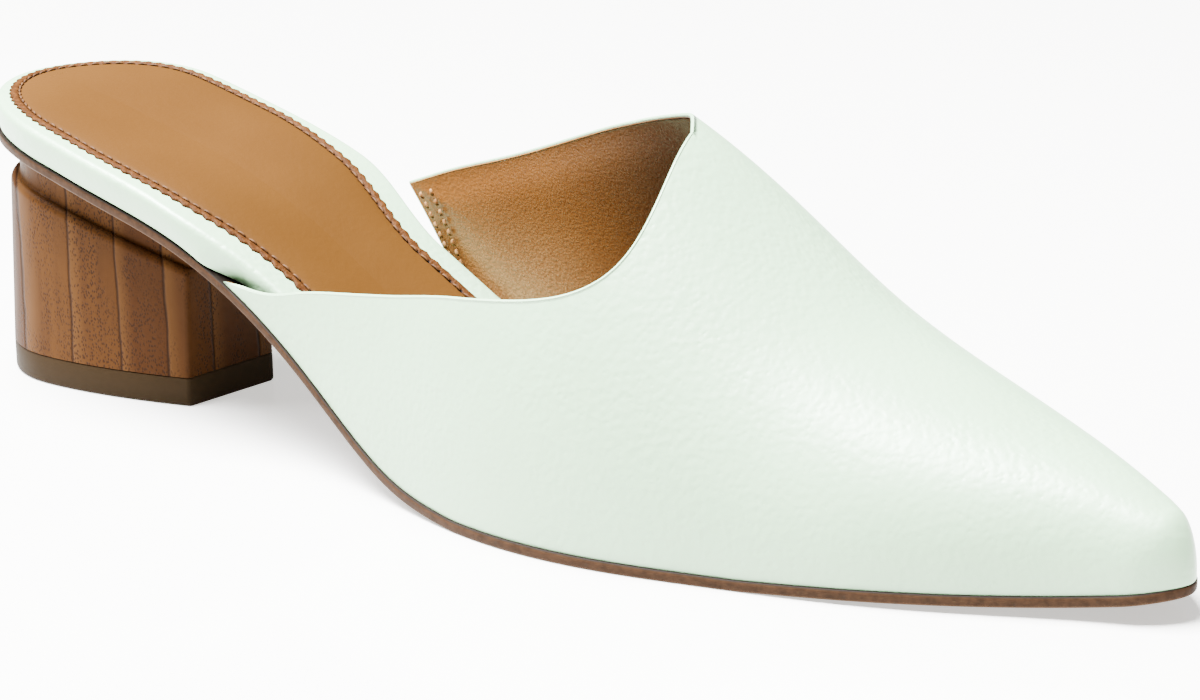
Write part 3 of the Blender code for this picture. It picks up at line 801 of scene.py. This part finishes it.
def sockLeather():
    # smooth tan, with a rough burnt band along the pinked edge, and painted shade darkening the groove
    # of the seam and the stitch holes in it
    g = Graph("sockLeather")
    where = g.place()
    inset, beat = g.value("inset"), g.value("beat")
    broad = g.noise(where, scale=30)
    fine = g.noise(where, scale=700, detail=4, rough=0.6)
    rough = g.smooth(g.noise(where, scale=900), 0.35, 0.7)
    band = g.fades(inset, 1.6, 2.4)
    # painted shade in the seam's groove
    groove = g.near(inset, sock["seam"], 0.12, 0.40, 0.7)
    # painted shade: the stitch holes nearly black
    hole = g.near(inset, sock["seam"], 0.25, 0.50) * g.fades(beat, 0.10, 0.20)
    plain = g.blend(broad, 0.3, 0.7, (0.033, 0.0132, 0.0020), (0.038, 0.0155, 0.0026))
    burnt = g.mix(rough, (0.022, 0.0070, 0.0015), (0.042, 0.0150, 0.0036))
    colour = g.mix(band * 0.9, plain, burnt)
    colour = g.mix(groove, colour, (0.012, 0.004, 0.001))
    colour = g.mix(hole, colour, (0.002, 0.0008, 0.0004))
    colour = g.mix(g.fades(inset, 0.02, 0.25, 0.6), colour, (0.016, 0.005, 0.0012))
    height = fine + band * rough * 2.0 - hole * 3.0
    return g.finish(Base_Color=colour, Roughness=0.50 + 0.12 * fine, Specular_IOR_Level=0.03,
                    Normal=g.bump(height, strength=0.4, distance=0.0002))


def threadOf(name, light, dark):
    g = Graph(name)
    twist = g.noise(g.place(), scale=1500, detail=2)
    return g.finish(Base_Color=g.blend(twist, 0.35, 0.65, light, dark), Roughness=0.6,
                    Specular_IOR_Level=0.1, Normal=g.bump(twist, strength=0.4, distance=0.0001))


def soleEdge():
    # a gritty brown edge, with a painted highlight along the tread and painted shade, nearly black,
    # along the upper
    g = Graph("soleEdge")
    level = g.value("level")
    where = g.place()
    grit = g.noise(where, scale=650, detail=4, rough=0.65)
    fleck = g.fades(g.cellular(where, scale=420), 0.10, 0.22) * g.smooth(grit, 0.45, 0.6)
    colour = g.blend(grit, 0.35, 0.7, (0.026, 0.0125, 0.0060), (0.015, 0.0072, 0.0034))
    # painted highlight: a lighter line along the tread's rounded edge
    colour = g.mix(g.fades(level, 0.05, 0.24, 0.8), colour, (0.060, 0.033, 0.018))
    # painted shade: nearly black along the top, in the shadow between the outsole and the footbed
    colour = g.mix(g.smooth(level, 0.86, 0.95), colour, (0.006, 0.004, 0.003))
    colour = g.mix(fleck * 0.7, colour, (0.02, 0.012, 0.008))
    return g.finish(Base_Color=colour, Roughness=0.6, Specular_IOR_Level=0.04,
                    Normal=g.bump(grit, strength=0.3, distance=0.0002))


def stackedWood():
    # upright strips across the block, each with its own tone, with pores and dark joint lines
    g = Graph("stackedWood")
    where = g.place()
    strip = {"width": 0.0089, "start": 0.0047, "wander": 0.0011, "slow": 0.0022}
    wander = g.noise(g.place((1, 1, 0.5)), scale=170) - 0.5
    slow = g.noise(g.place((1, 1, 0.25)), scale=40, detail=2) - 0.5
    diagonal = (g.axis(where, 0) + g.axis(where, 1)) * 0.7071
    across = diagonal + wander * strip["wander"] + slow * strip["slow"] + strip["start"]
    count = across / strip["width"]
    share = count % 1.0
    joint = g.smooth(g.maths("ABSOLUTE", share - 0.5), 0.455, 0.497)
    # a tone for each strip, from its number
    tone = g.maths("FRACT", g.maths("SINE", g.maths("FLOOR", count) * 12.9) * 43.7)
    band = g.noise(g.place((1, 1, 0.12)), scale=420)
    zone = g.smooth(g.noise(g.place((1, 1, 0.3)), scale=150, detail=2), 0.36, 0.56)
    pore = g.fades(g.cellular(g.place((1, 1, 0.6)), scale=2300), 0.26, 0.46) * zone
    colour = g.mix(tone, (0.023, 0.0076, 0.0014), (0.036, 0.0138, 0.0028))
    colour = g.mix(g.smooth(band, 0.35, 0.68) * 0.55, colour, (0.024, 0.0090, 0.0024))
    colour = g.mix(g.fades(share, 0.0, 0.35, 0.5), colour, (0.056, 0.0250, 0.0074))
    colour = g.mix(pore * 0.85, colour, (0.009, 0.0034, 0.0012))
    colour = g.mix(joint * 0.85, colour, (0.008, 0.0028, 0.001))
    height = band * 0.3 - pore * 0.5 - joint
    return g.finish(Base_Color=colour, Roughness=0.46 + 0.12 * band, Specular_IOR_Level=0.03,
                    Normal=g.bump(height, strength=0.4, distance=0.0002))


def brownRubber():
    g = Graph("brownRubber")
    grit = g.noise(g.place(), scale=900)
    return g.finish(Base_Color=g.mix(grit, (0.0110, 0.0060, 0.0018), (0.0135, 0.0074, 0.0024)),
                    Roughness=0.6, Specular_IOR_Level=0.04,
                    Normal=g.bump(grit, strength=0.15, distance=0.0001))


mint = mintLeather()
finishes = {"shell": mint, "footbed": mint, "lining": liningLeather(), "sock": sockLeather(),
            "outsole": soleEdge(), "heel": stackedWood(), "lift": brownRubber(),
            "sockStitches": threadOf("sockThread", (0.050, 0.020, 0.0045), (0.026, 0.0095, 0.0022)),
            "wingStitches": threadOf("wingThread", (0.19, 0.100, 0.036), (0.100, 0.040, 0.010))}
for key, piece in pieces.items():
    piece.data.materials.append(finishes[key])
print("materials", len(finishes))


# Stage, light and camera, with lengths in metres. The camera stands away from its target, at an
# angle round from the heel's side and at an angle up from the floor.

studio = {"reach": 6, "floor": (0.62, 0.62, 0.61), "roughness": 0.12, "glow": (1.0, 0.985, 0.94),
          "glowStrength": 0.95, "sky": (1.0, 1.0, 0.985, 1), "skyStrength": 0.4}
softboxes = {
    "topBox": {"at": (-0.28, -0.22, 1.55), "target": (0.08, 0, 0.02), "size": (1.0, 0.9), "watts": 610},
    "leftBox": {"at": (-0.75, -0.42, 0.80), "target": (0.08, 0, 0.03), "size": (0.5, 0.5), "watts": 26},
}
camera = {"azimuth": 36.5, "elevation": 18.27, "away": 0.771, "roll": -1.04, "lens": 127.8,
          "sensor": 36, "nearest": 0.01, "furthest": 50, "target": (0.11555, -0.0034, 0.02487)}


def addFloor():
    reach = studio["reach"]
    mesh = bpy.data.meshes.new("studioFloor")
    corners = [(-reach, -reach, 0), (reach, -reach, 0), (reach, reach, 0), (-reach, reach, 0)]
    mesh.from_pydata(corners, [], [(0, 1, 2, 3)])
    mesh.materials.append(Graph("studioFloor").finish(
        Base_Color=studio["floor"], Roughness=studio["roughness"],
        Emission_Color=studio["glow"], Emission_Strength=studio["glowStrength"]))
    floor = bpy.data.objects.new("studioFloor", mesh)
    bpy.context.scene.collection.objects.link(floor)
    return floor


def addSky():
    world = bpy.data.worlds.new("studio")
    world.use_nodes = True
    background = world.node_tree.nodes["Background"]
    background.inputs["Color"].default_value = studio["sky"]
    background.inputs["Strength"].default_value = studio["skyStrength"]
    bpy.context.scene.world = world


def addSoftbox(name, box):
    light = bpy.data.lights.new(name, "AREA")
    light.shape = "RECTANGLE"
    light.size, light.size_y = box["size"]
    light.energy = box["watts"]
    lamp = bpy.data.objects.new(name, light)
    lamp.location = box["at"]
    aim = Vector(box["target"]) - Vector(box["at"])
    lamp.rotation_euler = aim.to_track_quat("-Z", "Y").to_euler()
    bpy.context.scene.collection.objects.link(lamp)


def addCamera():
    a, e, r = (math.radians(camera[key]) for key in ("azimuth", "elevation", "roll"))
    back = Vector((math.sin(a) * math.cos(e), -math.cos(a) * math.cos(e), math.sin(e)))
    right = Vector((math.cos(a), math.sin(a), 0))
    up = back.cross(right)
    rightTurned = right * math.cos(r) + up * math.sin(r)
    upTurned = up * math.cos(r) - right * math.sin(r)
    turned = Matrix((rightTurned, upTurned, back)).transposed().to_4x4()
    turned.translation = Vector(camera["target"]) + back * camera["away"]
    view = bpy.data.cameras.new("photoView")
    view.lens, view.sensor_width = camera["lens"], camera["sensor"]
    view.clip_start, view.clip_end = camera["nearest"], camera["furthest"]
    viewer = bpy.data.objects.new("photoView", view)
    viewer.matrix_world = turned
    bpy.context.scene.collection.objects.link(viewer)
    bpy.context.scene.camera = viewer


addFloor()
addSky()
for name, box in softboxes.items():
    addSoftbox(name, box)
addCamera()
print("stage", len(softboxes), "softboxes")
